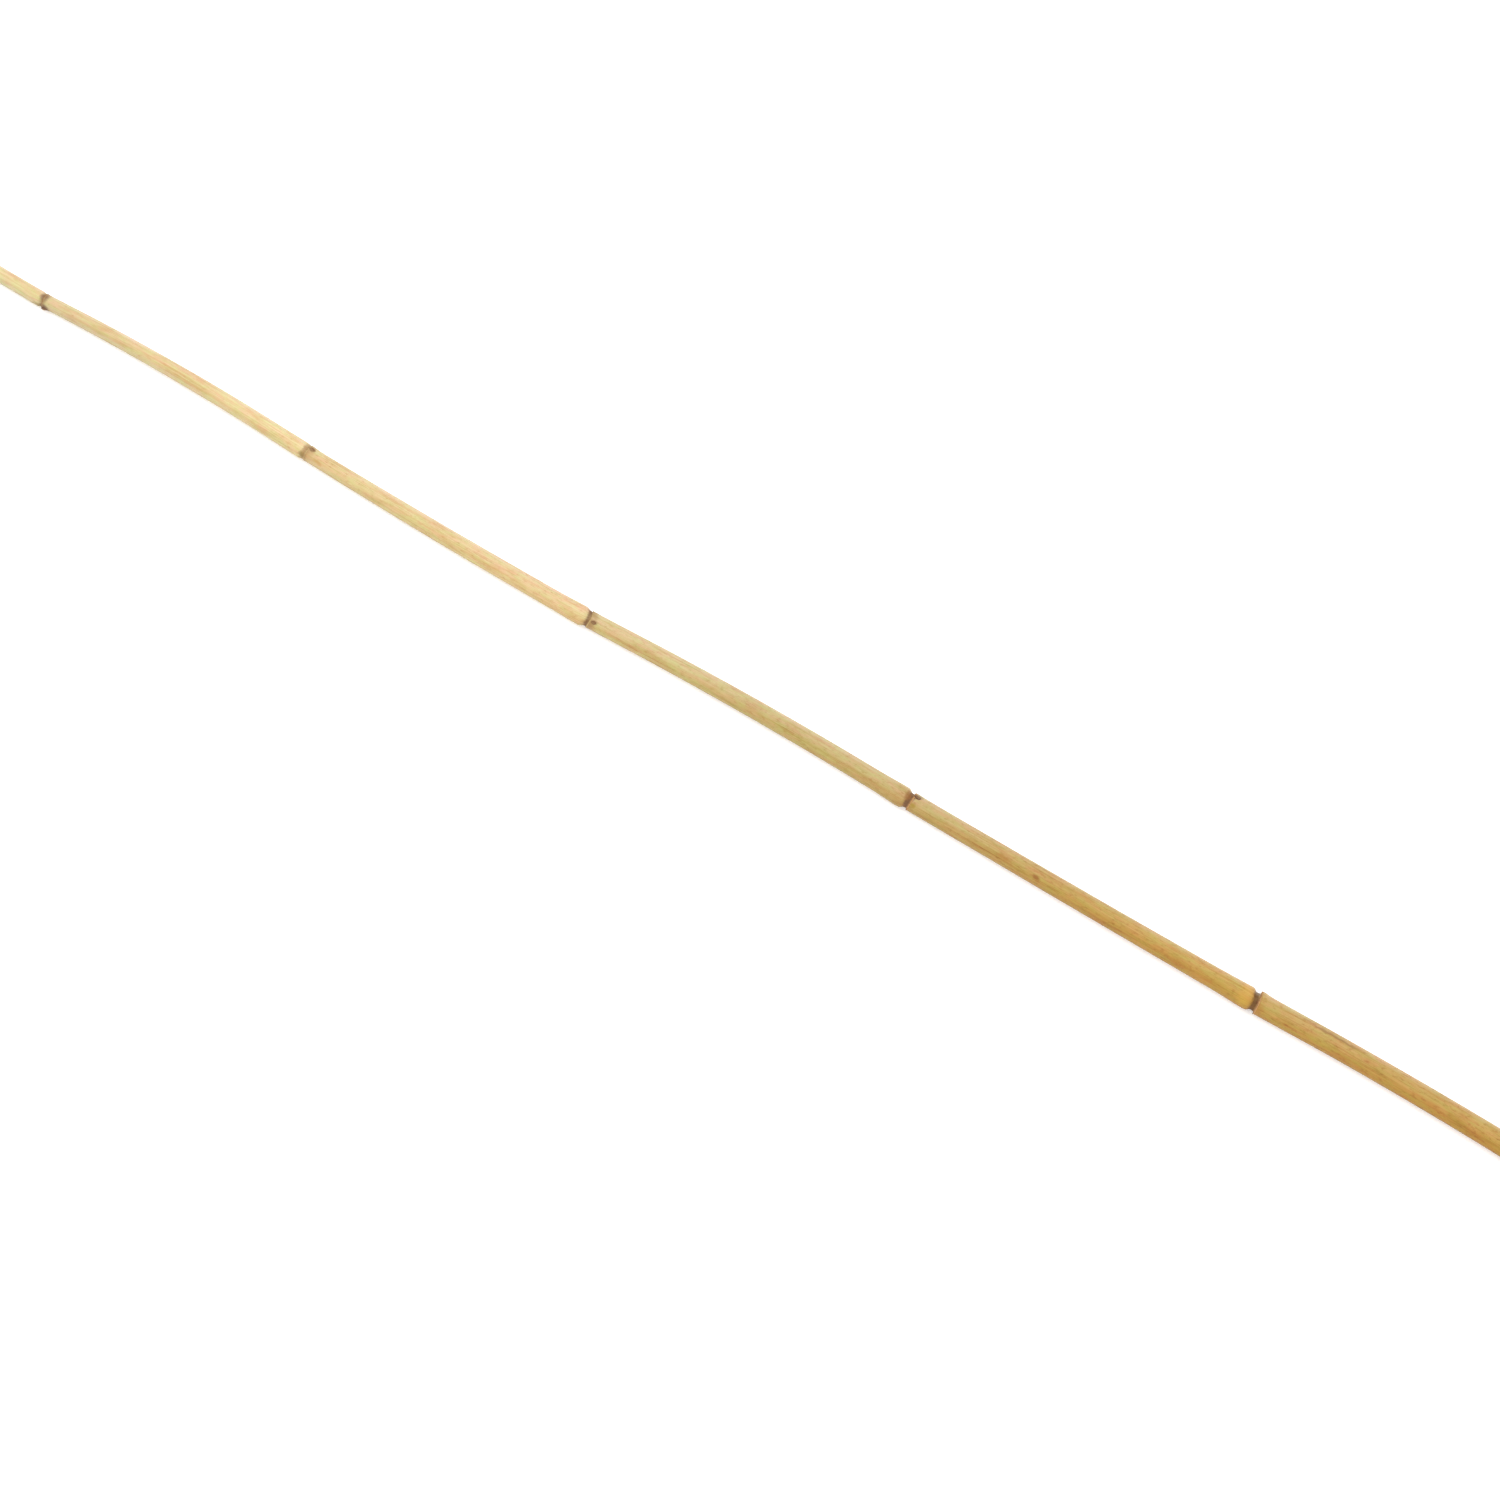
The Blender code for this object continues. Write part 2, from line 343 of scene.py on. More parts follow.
def carved(along, angle):
    """How far the surface stands out here, and how far it is pulled to the butt end."""
    near = math.cos(math.radians(angle - NEAR_SIDE))
    relief, shift = 0.0, 0.0
    for joint, stub, place in zip(JOINTS, STUBS, JOINT_PLACES):
        offset = along - place
        if not -CARVED_BEFORE < offset < CARVED_PAST:
            continue
        relief += joint.swell * joint.swell_side * near * shoulder_shape(offset)
        relief += joint.lip * joint.lip_side * near * lip_shape(offset)
        relief -= joint.groove * joint.groove_side * near * groove_shape(offset)
        fade = smooth(-offset / FURROW_START) * smooth(1 + offset / FURROW_LENGTH)
        relief -= joint.furrow * fade * bell(turn_between(angle, stub.angle), FURROW_WIDTH)
        reach = 1 - smooth(abs(offset) / LEAN_REACH)
        shift += reach * math.tan(math.radians(joint.lean)) * near * plain_radius(along)
        # The bell is about 0.3 on average, so a dip doesn't move the ring as a whole
        shift += reach * joint.dip * (bell(turn_between(angle, NEAR_MIDDLE), DIP_WIDTH) - 0.3)
    return relief, shift


def carve_joints(piece):
    """What isn't the same all round: lopsided shoulders and scars, furrows and leaning rings."""
    for vert in piece.data.vertices:
        along = vert.co.x / MM
        from_axis = math.hypot(vert.co.y, vert.co.z)
        # The hollows and the middles of the sawn faces stay as they are
        if from_axis < 0.6 * plain_radius(min(max(along, 0.0), LENGTH)) * MM:
            continue
        relief, shift = carved(along, angle_round(vert.co))
        grow = 1 + relief * MM / from_axis
        vert.co.y *= grow
        vert.co.z *= grow
        vert.co.x += shift * MM


def wear_ends(piece):
    """Saw cuts that aren't quite square, with small chips out of their rims."""
    chance = random.Random(11)
    for end, slant in zip((0.0, LENGTH), CUT_SLANTS):
        inwards = 1 if end == 0.0 else -1
        chips = [
            (chance.uniform(0, 360), chance.uniform(5, 12), chance.uniform(0.25, 0.7))
            for _ in range(CHIP_COUNT)
        ]
        for vert in piece.data.vertices:
            depth = abs(vert.co.x / MM - end)
            if depth > CUT_REACH:
                continue
            from_axis = math.hypot(vert.co.y, vert.co.z) / MM
            angle = angle_round(vert.co)
            slanted = math.tan(math.radians(slant)) * vert.co.z
            vert.co.x += slanted * (1 - smooth(depth / CUT_REACH))
            near_rim = smooth((from_axis / plain_radius(end) - 0.74) / 0.2)
            rim = near_rim * max(0.0, 1 - depth / CHIP_REACH)
            chipped = sum(deep * bell(turn_between(angle, at), wide) for at, wide, deep in chips)
            vert.co.x += inwards * rim * chipped * MM


def roughen(piece):
    """Slight lumps along the cane, and fine ribs along its grain."""
    bpy.ops.object.empty_add(location=(0, 0, 0))
    stretched = bpy.context.object
    # Each has its size along and across the cane, and its height, in millimetres
    for name, size, strength in (
        ("lumps", (60.0, 14.0, 14.0), 0.10),
        ("ribs", (90.0, 1.3, 1.3), 0.030),
    ):
        texture = bpy.data.textures.new(name, "CLOUDS")
        texture.noise_scale = 1.0
        texture.noise_depth = 1
        stretched.scale = [value * MM for value in size]
        bpy.context.view_layer.update()
        apply(
            piece,
            "DISPLACE",
            texture=texture,
            texture_coords="OBJECT",
            texture_coords_object=stretched,
            strength=strength * MM,
            mid_level=0.5,
        )
        bpy.data.textures.remove(texture)
    bpy.data.objects.remove(stretched)


# The sheath scars and the branch stubs, which are pieces of their own


def torn_edge(chance):
    """How far a torn edge reaches at each angle round the cane: slow waves, and a few nicks."""
    waves = [
        (chance.uniform(0.3, 1.0) / (count + 3), count, chance.uniform(0, 2 * math.pi))
        for count in (1, 2, 4, 7, 11, 17, 26)
    ]
    nicks = [(chance.uniform(0, 360), chance.uniform(0.2, 0.5)) for _ in range(7)]

    def reach(angle):
        turned = math.radians(angle)
        slow = sum(size * math.sin(count * turned + start) for size, count, start in waves)
        return slow - sum(deep * bell(turn_between(angle, at), NICK_WIDTH) for at, deep in nicks)

    return reach


def sheath_scar(number, chance):
    """The thin torn collar that a leaf sheath leaves, open towards the tip over the groove."""
    place = JOINT_PLACES[number]
    # Each loop is past the joint by the first value, and stands out from the skin by the second
    rooted = (2.5, -SCAR_THICKNESS)
    profile = (rooted, (2.15, 0.0), (1.85, 0.04), (1.55, 0.08), (1.25, 0.11), (1.0, 0.12))

    # The edge that reaches over the groove keeps the radius of the skin beside it
    def loop_out(past, out):
        return round_radius(place + max(past, 1.9)) + out

    at, radius = place + profile[0][0], loop_out(*profile[0])
    piece = add_circle(SCAR_SIDES, radius, (at, 0, 0), "NOTHING")
    for past, out in profile[1:]:
        wanted = loop_out(past, out)
        extrude_to(place + past - at, wanted / radius, place + past)
        at, radius = place + past, wanted
    face_outwards()
    reach = torn_edge(chance)
    to_edge = piece.data.attributes.new("to_edge", "FLOAT", "POINT")
    for vert, kept in zip(piece.data.vertices, to_edge.data):
        angle = angle_round(vert.co)
        share = smooth((place + 2.3 - vert.co.x / MM) / 1.3)
        kept.value = share
        wander = 0.55 * reach(angle) * share + 0.35 * reach(angle + 150.0) * (1 - share)
        vert.co.x -= wander * MM
        lift = 1 + 0.02 * share * max(-1.0, reach(angle + 40.0))
        vert.co.y *= lift
        vert.co.z *= lift
    apply(piece, "SOLIDIFY", thickness=SCAR_THICKNESS * MM, offset=-1.0)
    apply(piece, "SUBSURF", levels=1, render_levels=1)
    piece.name = piece.data.name = f"sheath_scar_{number + 1}"
    return piece


def branch_stub(number, chance):
    """A small branch that was trimmed off beside the joint: its collar, and the cut end in it."""
    stub = STUBS[number]
    place = JOINT_PLACES[number] + stub.past
    ground = round_radius(place)
    # Each loop's height above the skin, in stub heights, and its radius, in half widths
    profile = ((-2.6, 1.75), (-0.9, 1.6), (-0.1, 1.4), (0.25, 1.12), (0.70, 0.94), (1.0, 0.86))
    heights = [stub.height * high for high, _ in profile]
    radii = [stub.width / 2 * wide for _, wide in profile]
    foot = (place, 0, ground + heights[0])
    piece = add_circle(STUB_SIDES, radii[0], foot, "NGON", turned=False)
    for low, high, inner, outer in zip(heights, heights[1:], radii, radii[1:]):
        lift = (-0.10 * (high - low) * MM, 0, (high - low) * MM)
        bpy.ops.mesh.extrude_region_move(TRANSFORM_OT_translate={"value": lift})
        bpy.ops.transform.resize(value=(outer / inner, outer / inner, 1))
    # Rings of the cut face, from its rim in to the pith: how far in on a stub 3 mm wide, and how
    # far up
    for inset, rise in ((0.10, 0.0), (0.14, -0.10), (0.34, 0.03), (0.30, 0.03), (0.12, -0.22)):
        bpy.ops.mesh.inset(thickness=inset * stub.width / 3.0 * MM)
        bpy.ops.transform.translate(value=(0, 0, rise * MM))
    face_outwards()
    keep_cut_face(piece, place, ground + 0.55 * stub.height, radii[-1])
    # Drawn out along the cane to blunt points, cut at a slant, and a little uneven
    for vert in piece.data.vertices:
        high = vert.co.z / MM - ground
        aside = (vert.co.x / MM - place) / radii[0]
        vert.co.x = (place + STUB_STRETCH * aside * radii[0]) * MM
        vert.co.y *= 1 - 0.35 * aside * aside
        if high > 0:
            vert.co.z -= 0.12 * high / stub.height * (vert.co.x - place * MM)
        for axis in (0, 1, 2):
            vert.co[axis] += chance.uniform(-0.035, 0.035) * MM
    apply(piece, "SUBSURF", levels=2, render_levels=2)
    piece.rotation_euler = (math.radians(stub.angle), 0, 0)
    only(piece)
    bpy.ops.object.transform_apply(location=True, rotation=True, scale=True)
    piece.name = piece.data.name = f"branch_stub_{number + 1}"
    return piece


def keep_cut_face(piece, place, least, rim):
    """Points of the cut face get their distance from its pith, from 0 to 1, and all others 1.5."""
    from_pith = piece.data.attributes.new("from_pith", "FLOAT", "POINT")
    for vert, kept in zip(piece.data.vertices, from_pith.data):
        away = math.hypot(vert.co.x - place * MM, vert.co.y) / (rim * MM)
        kept.value = away if vert.co.z > least * MM and away < 1.02 else 1.5


# The wave of the cane, felt out from the solid


def solid_middle(along):
    """The middle of the solid's section at this place along the cane."""
    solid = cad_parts["cane"]
    # Rays from well outside the solid, level ones first, at a height that every section reaches
    x, far = SOLID_BOX[0][0] + along * MM, 0.1
    height = (SOLID_BOX[0][2] + SOLID_BOX[1][2]) / 2 - 0.001
    sides = [
        solid.ray_cast(Vector((x, side * far, height)), Vector((0, -side, 0)))[1].y
        for side in (-1, 1)
    ]
    y = sum(sides) / 2
    ends = [
        solid.ray_cast(Vector((x, y, side * far)), Vector((0, 0, -side)))[1].z for side in (-1, 1)
    ]
    return Vector((x, y, sum(ends) / 2))


def guide_curve():
    """The middle line of the solid, felt out between its joints and not in their grooves."""
    places = [0.4]
    for start, length in zip(BOUNDS, STRETCH_LENGTHS):
        places += [start + length * share for share in (0.06, 0.24, 0.42, 0.58, 0.76, 0.94)]
    places.append(LENGTH - 0.4)
    curve = bpy.data.curves.new("guide", "CURVE")
    curve.dimensions = "3D"
    curve.twist_mode = "Z_UP"
    curve.resolution_u = 16
    curve.use_deform_bounds = False
    spline = curve.splines.new("BEZIER")
    spline.bezier_points.add(len(places) - 1)
    for point, along in zip(spline.bezier_points, places):
        point.co = solid_middle(along)
        point.handle_left_type = point.handle_right_type = "AUTO"
    guide = bpy.data.objects.new("guide", curve)
    bpy.context.scene.collection.objects.link(guide)
    bpy.context.view_layer.update()
    return guide


def rest_on_floor(piece):
    for vert in piece.data.vertices:
        vert.co.z = max(vert.co.z, 0.0)


def bend_and_finish(piece, guide):
    """Carves and roughens a piece of the straight cane, bends it, and lets it ride."""
    keep_straight_places(piece)
    carve_joints(piece)
    roughen(piece)
    apply(piece, "CURVE", object=guide, deform_axis="POS_X")
    rest_on_floor(piece)
    only(piece)
    bpy.ops.object.shade_smooth_by_angle(angle=math.radians(50))
    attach(piece, "root")


# Shader helpers


def add(tree, kind, sockets=None, **settings):
    """A shader node, with its settings and with a value or another node's output in each socket."""
    node = tree.nodes.new("ShaderNode" + kind)
    for name, value in settings.items():
        setattr(node, name, value)
    for key, value in (sockets or {}).items():
        if isinstance(value, bpy.types.NodeSocket):
            tree.links.new(value, node.inputs[key])
        else:
            node.inputs[key].default_value = value
    return node


def calc(tree, operation, *values):
    return add(tree, "Math", dict(enumerate(values)), operation=operation).outputs[0]


def on_vector(tree, operation, sockets, output="Vector"):
    return add(tree, "VectorMath", sockets, operation=operation).outputs[output]


def blend(tree, factor, a, b, how="MIX"):
    node = add(tree, "Mix", {0: factor, 6: a, 7: b}, data_type="RGBA", blend_type=how)
    return node.outputs[2]


def ramp(tree, value, low, high):
    """0 where value is below low, 1 above high. It may run down instead, from high to low."""
    node = add(
        tree,
        "MapRange",
        {"Value": value, "From Min": low, "From Max": high},
        interpolation_type="SMOOTHSTEP",
    )
    return node.outputs[0]


def noise(tree, vector, size, detail=2.0, roughness=0.5):
    """Noise whose features are about size (x, y, z) millimetres long."""
    scale = [1 / (value * MM) for value in size]
    scaled = on_vector(tree, "MULTIPLY", {0: vector, 1: scale})
    node = add(
        tree, "TexNoise", {"Vector": scaled, "Scale": 1.0, "Detail": detail, "Roughness": roughness}
    )
    return node.outputs[0]


def shaken(tree, value, shake, reach):
    """The value, moved up or down by noise."""
    return calc(tree, "MULTIPLY_ADD", calc(tree, "SUBTRACT", shake, 0.5), reach, value)


def facing(tree, around, angle):
    """1 on the side of the cane at this angle, falling to -1 opposite it."""
    turned = calc(tree, "MULTIPLY", calc(tree, "SUBTRACT", around, angle), math.pi / 180)
    return calc(tree, "COSINE", turned)


def add_layers(tree, base, layers, how="MIX"):
    """Tones over a colour, each where its mask rises from low to high, at its strength."""
    for mask, low, high, strength, tone in layers:
        amount = calc(tree, "MULTIPLY", ramp(tree, mask, low, high), strength)
        base = blend(tree, amount, base, colour(tone), how)
    return base


def tones_along(tree, along, places, tones):
    """A colour that runs from tone to tone, with one tone at each place along the cane."""
    node = add(tree, "ValToRGB", {0: calc(tree, "DIVIDE", along, LENGTH)})
    stops = node.color_ramp.elements
    for place, tone in zip(places, tones):
        stops.new(place / LENGTH).color = colour(tone)
    stops.remove(stops[0])
    stops.remove(stops[-1])
    return node.outputs[0]


def new_group(name, inputs, outputs):
    group = bpy.data.node_groups.new(name, "ShaderNodeTree")
    for label, kind, value in inputs:
        socket = group.interface.new_socket(label, in_out="INPUT", socket_type="NodeSocket" + kind)
        if value is not None:
            socket.default_value = value
    for label, kind in outputs:
        group.interface.new_socket(label, in_out="OUTPUT", socket_type="NodeSocket" + kind)
    return group, group.nodes.new("NodeGroupInput"), group.nodes.new("NodeGroupOutput")


def place_group(tree, group, sockets):
    return add(tree, "Group", sockets, node_tree=group).outputs


# Effects that the materials share


def cane_places_group():
    """Millimetres along the straight cane and degrees round it, both a little unsteady.

    Wrapped is the same place moved out or in to one radius, so that the grain runs over the
    shoulders and through the grooves.
    """
    group, source, sink = new_group(
        "places on the cane",
        (("Vector", "Vector", None),),
        (
            ("Along", "Float"),
            ("Around", "Float"),
            ("True along", "Float"),
            ("From axis", "Float"),
            ("Wrapped", "Vector"),
        ),
    )
    vector = source.outputs["Vector"]
    parts = add(group, "SeparateXYZ", {0: vector}).outputs
    along = calc(group, "DIVIDE", parts[0], MM)
    around = calc(group, "ARCTAN2", calc(group, "MULTIPLY", parts[1], -1.0), parts[2])
    around = calc(group, "MULTIPLY", around, 180 / math.pi)
    wobble = noise(group, vector, (9.0, 2.6, 2.6), detail=3.0)
    ragged = noise(group, vector, (2.4, 0.7, 0.7), detail=2.0)
    sway = noise(group, vector, (5.0, 3.1, 3.1), detail=2.0)
    moved = shaken(group, shaken(group, along, wobble, 1.8), ragged, 1.2)
    across = on_vector(group, "MULTIPLY", {0: vector, 1: (0, 1, 1)})
    from_axis = calc(group, "DIVIDE", on_vector(group, "LENGTH", {0: across}, "Value"), MM)
    outwards = on_vector(group, "NORMALIZE", {0: across})
    rim = on_vector(group, "SCALE", {0: outwards, "Scale": WRAP_RADIUS * MM})
    on_line = on_vector(group, "MULTIPLY", {0: vector, 1: (1, 0, 0)})
    for name, value in (
        ("Along", moved),
        ("Around", shaken(group, around, sway, 26.0)),
        ("True along", along),
        ("From axis", from_axis),
        ("Wrapped", on_vector(group, "ADD", {0: on_line, 1: rim})),
    ):
        group.links.new(value, sink.inputs[name])
    return group


def joint_band_group():
    """The dark ring in a joint's groove, and the brown that fades out from it along the cane."""
    group, source, sink = new_group(
        "joint band",
        (
            ("Along", "Float", 0.0),
            ("Place", "Float", 0.0),
            ("Half width", "Float", 1.5),
            ("Softness", "Float", 1.0),
            ("Fade to tip", "Float", 2.0),
            ("Fade to butt", "Float", 6.0),
        ),
        (("Ring", "Float"), ("Stain", "Float")),
    )
    given = source.outputs
    offset = calc(group, "SUBTRACT", given["Along"], given["Place"])
    inside = calc(group, "SUBTRACT", calc(group, "ABSOLUTE", offset), given["Half width"])
    inside = calc(group, "DIVIDE", inside, given["Softness"])
    ring = calc(group, "SUBTRACT", 1.0, ramp(group, inside, -0.5, 0.5))
    butt = calc(group, "DIVIDE", offset, given["Fade to butt"])
    tip = calc(group, "DIVIDE", calc(group, "MULTIPLY", offset, -1.0), given["Fade to tip"])
    stain = calc(group, "SUBTRACT", 1.0, ramp(group, calc(group, "MAXIMUM", butt, tip), 0.0, 1.0))
    group.links.new(ring, sink.inputs["Ring"])
    group.links.new(stain, sink.inputs["Stain"])
    return group


def spot_group():
    """One soft-edged mark, at a place along the cane and an angle round it."""
    group, source, sink = new_group(
        "spot",
        (
            ("Along", "Float", 0.0),
            ("Around", "Float", 0.0),
            ("Place", "Float", 0.0),
            ("Angle", "Float", 0.0),
            ("Half length", "Float", 2.0),
            ("Half width", "Float", 20.0),
        ),
        (("Mask", "Float"),),
    )
    given = source.outputs
    length = calc(group, "SUBTRACT", given["Along"], given["Place"])
    length = calc(group, "DIVIDE", length, given["Half length"])
    turn = calc(group, "SUBTRACT", given["Around"], given["Angle"])
    turn = calc(group, "DIVIDE", calc(group, "WRAP", turn, 180.0, -180.0), given["Half width"])
    away = calc(group, "MULTIPLY_ADD", length, length, calc(group, "MULTIPLY", turn, turn))
    mask = calc(group, "SUBTRACT", 1.0, ramp(group, away, 0.05, 1.5))
    group.links.new(mask, sink.inputs["Mask"])
    return group


def grain_group():
    """The fibres of bamboo: long soft streaks, fine fibres and broad mottling."""
    group, source, sink = new_group(
        "bamboo grain",
        (("Vector", "Vector", None),),
        (
            ("Streaks", "Float"),
            ("Fibres", "Float"),
            ("Mottle", "Float"),
            ("Clouds", "Float"),
            ("Flecks", "Float"),
            ("Hairlines", "Float"),
            ("Fray", "Float"),
            ("Specks", "Float"),
        ),
    )
    vector = source.outputs["Vector"]
    for name, size, detail, roughness in (
        ("Streaks", (60.0, 1.5, 1.5), 3.0, 0.5),
        ("Fibres", (18.0, 0.26, 0.26), 2.0, 0.6),
        ("Mottle", (16.0, 5.0, 5.0), 3.0, 0.6),
        ("Clouds", (11.0, 3.0, 3.0), 3.0, 0.6),
        ("Specks", (3.4, 1.5, 1.5), 3.0, 0.65),
        ("Hairlines", (44.0, 0.17, 0.17), 1.0, 0.5),
        ("Fray", (3.0, 0.30, 0.30), 3.0, 0.6),
    ):
        group.links.new(noise(group, vector, size, detail, roughness), sink.inputs[name])
    scaled = on_vector(group, "MULTIPLY", {0: vector, 1: (240.0, 700.0, 700.0)})
    cells = add(group, "TexVoronoi", {"Vector": scaled, "Scale": 1.0, "Randomness": 1.0})
    chosen = add(group, "SeparateColor", {0: cells.outputs["Color"]}).outputs[0]
    near = calc(group, "SUBTRACT", 1.0, ramp(group, cells.outputs["Distance"], 0.08, 0.36))
    flecks = calc(group, "MULTIPLY", near, ramp(group, chosen, 0.90, 0.97))
    group.links.new(flecks, sink.inputs["Flecks"])
    return group


# Materials


def bare_material(name, roughness):
    material = bpy.data.materials.new(name)
    material.use_nodes = True
    shader = material.node_tree.nodes["Principled BSDF"]
    shader.inputs["Roughness"].default_value = roughness
    return material, material.node_tree, shader


def straight_places(tree, groups):
    """Where a point was on the straight cane, as a vector and as the shared places."""
    straight = add(tree, "Attribute", attribute_name="straight").outputs["Vector"]
    return straight, place_group(tree, groups["places"], {"Vector": straight})


def join_up(tree, shader, base, rough, height, strength, distance):
    """Colour and roughness into the shader, and a bump of this strength and height."""
    tree.links.new(base, shader.inputs["Base Color"])
    tree.links.new(rough, shader.inputs["Roughness"])
    bump = add(tree, "Bump", {"Strength": strength, "Distance": distance, "Height": height})
    tree.links.new(bump.outputs[0], shader.inputs["Normal"])


# Tones of the dry skin, then of its stains and scars
PALE_STRAW = "CDC195"
BRIGHT_STRAW = "D5C49A"
STRAW = "CBB88C"
PINK_STRAW = "D2BC98"
DULL_STRAW = "C3B188"
OLIVE_STRAW = "B3A472"
DUN_YELLOW = "AE9963"
AMBER = "AD9044"
HONEY = "AA8A31"
GOLDEN = "AE8D2A"
SOOT = "402A1C"
UMBER = "573820"
BARK = "6A4A32"
SEPIA = "7E5A32"
DUN = "94764A"
OCHRE = "996A2E"
TAN = "AE7E48"
RUST = "84521F"
BRICK = "6C3018"
MAUVE = "74565A"
GREY = "8E8270"
MOSS = "74602A"
MOSS_GOLD = "8C6C18"
GOLD = "D0A03C"

# The skin's yellower side at the tip and at the butt, partly its own tone and partly painted shade;
# its paler side, partly sun bleached and partly a painted sheen; and its two greyer sides, a
# painted reflection on the far upper one and painted shade on the near lower one
TIP_SHADE, BUTT_SHADE = "F3F9FF", "F0DC6E"
BLEACH_AND_SHEEN, UPPER_REFLECTION_GREY, LOWER_SHADE_GREY = "E2CEC6", "D2C6C2", "A8AAA4"
# Tints that the skin is multiplied by, in its clouds, underneath as painted shade, in its grain and
# at its joints, where the line of dirt is partly painted shade
GREENISH, PINKISH, UNDERSIDE_SHADE = "F3FFE4", "FFF0EC", "D4C8B4"
STREAKED, FIBROUS, LINED, MOTTLED = "E2C795", "D9BA84", "C29C62", "E6C69C"
SPECKED, FRAYED, DIRT_AND_SHADE_TINT = "D2B07E", "B59A80", "9C8062"
# Shreds of the sheath scars, then the sawn faces and the hollows
SHRED = "D2B078"
FRESH_WOOD, AGED_WOOD, BUNDLE = "D9BF8A", "B99A66", "7C5730"
SAW_MARK, SAWN_RIM = "EAD8AE", "8F6A38"
LINING, DEEP_LINING, MUSTY = "C4A470", "8C6A40", "6E5030"

# Angles round the cane of the paler side, partly sun bleached and partly a painted sheen, of the
# near lower side, greyer as painted shade, and of the underside, with painted shade
SUNNY_AND_LIT_SIDE, LOWER_SHADE_SIDE, SHADED_UNDERSIDE = -58.0, 110.0, 150.0

# Tone of each stretch where it begins, in its middle and where it ends, from the tip
TONE_SHARES = (0.03, 0.5, 0.985)
STRETCH_TONES = (
    (PALE_STRAW, PALE_STRAW, STRAW),
    (DULL_STRAW, STRAW, BRIGHT_STRAW),
    (STRAW, STRAW, PINK_STRAW),
    (DULL_STRAW, OLIVE_STRAW, DUN_YELLOW),
    (DUN_YELLOW, HONEY, GOLDEN),
    (AMBER, HONEY, GOLDEN),
)

# How each joint is coloured: its ring's place past the joint, half width, softness, strength and
# colour, then how far the brown reaches to the tip and the butt, its strength and its colour
Ring = namedtuple("Ring", "past half soft strength tone to_tip to_butt stain stain_tone")
RINGS = (
    Ring(1.2, 2.4, 3.2, 0.36, SEPIA, 3.2, 9.0, 0.55, DUN),
    Ring(0.8, 2.6, 2.2, 0.34, SEPIA, 3.0, 11.0, 0.62, DUN),
    Ring(0.1, 1.3, 1.7, 0.70, BARK, 2.8, 10.5, 0.95, DUN),
    Ring(-0.2, 1.5, 1.5, 0.74, BARK, 3.4, 4.5, 0.60, OCHRE),
    Ring(-0.6, 1.6, 1.8, 0.74, UMBER, 5.5, 6.5, 0.62, OCHRE),
)
# Dirt and painted shade lie in a thin line this far past each joint, along the root of the sheath
# scar
DIRT_AND_SHADE_PAST = 2.7

# Stains, one of them partly a painted shadow: millimetres past a joint (or from the tip, for joint
# None), angle round the cane, half length in millimetres, half width in degrees, strength and
# colour
Spot = namedtuple("Spot", "joint past angle length width strength tone")
SPOTS = (
    Spot(0, 1.4, 4, 3.6, 38, 0.68, BARK),
    Spot(0, 3.2, 92, 4.6, 34, 0.80, UMBER),
    Spot(0, -1.6, 92, 5.0, 22, 0.60, MOSS),
    Spot(1, 3.9, -10, 2.8, 24, 0.26, BARK),
    Spot(1, -0.2, 6, 1.9, 18, 0.40, SEPIA),
    Spot(1, 0.2, 58, 3.2, 30, 0.65, MOSS),
    Spot(1, 13.0, 47, 3.4, 14, 0.45, TAN),
    Spot(1, 3.0, 20, 4.4, 60, 0.25, TAN),
    # Round the third stub: partly a brown mark and partly a painted shadow of the stub
    Spot(2, 4.9, 34, 3.0, 15, 0.58, UMBER),
    Spot(2, -1.4, -42, 1.4, 20, 0.40, RUST),
    Spot(2, 3.0, 60, 3.8, 36, 0.45, SEPIA),
    Spot(2, 3.4, 14, 3.2, 56, 0.50, DUN),
    Spot(3, -2.0, 4, 2.2, 36, 0.66, RUST),
    Spot(3, 1.6, 14, 1.2, 15, 0.55, MAUVE),
    Spot(3, 1.9, -4, 1.6, 13, 0.60, SOOT),
    Spot(3, 4.4, -28, 2.8, 14, 0.42, UMBER),
    Spot(3, -0.2, 52, 1.6, 30, 0.50, BARK),
    Spot(3, 4.1, 46, 1.8, 15, 0.65, MOSS_GOLD),
    Spot(4, -0.4, -38, 1.8, 22, 0.50, GREY),
    Spot(4, 1.2, 28, 1.3, 18, 0.50, BRICK),
    Spot(4, 3.4, 56, 3.0, 44, 0.35, OCHRE),
    Spot(4, -6.5, 22, 4.5, 75, 0.22, GOLD),
    Spot(None, 333, -19, 16, 11, 0.35, TAN),
    Spot(None, 382, 0, 17, 10, 0.35, TAN),
    Spot(None, 832, 37, 5.0, 14, 0.50, OCHRE),
    Spot(None, 854, 36, 2.8, 14, 0.85, RUST),
    Spot(None, 1044, -16, 16, 10, 0.62, SEPIA),
    Spot(None, 1049, 63, 2.6, 11, 0.40, OCHRE),
    Spot(None, 148, 200, 9, 14, 0.35, TAN),
    Spot(None, 452, 168, 14, 12, 0.35, TAN),
    Spot(None, 655, -95, 3.0, 12, 0.50, SEPIA),
    Spot(None, 702, 150, 20, 9, 0.35, OCHRE),
    Spot(None, 921, 205, 3.4, 13, 0.50, SEPIA),
    Spot(None, 1128, 172, 18, 10, 0.40, OCHRE),
)


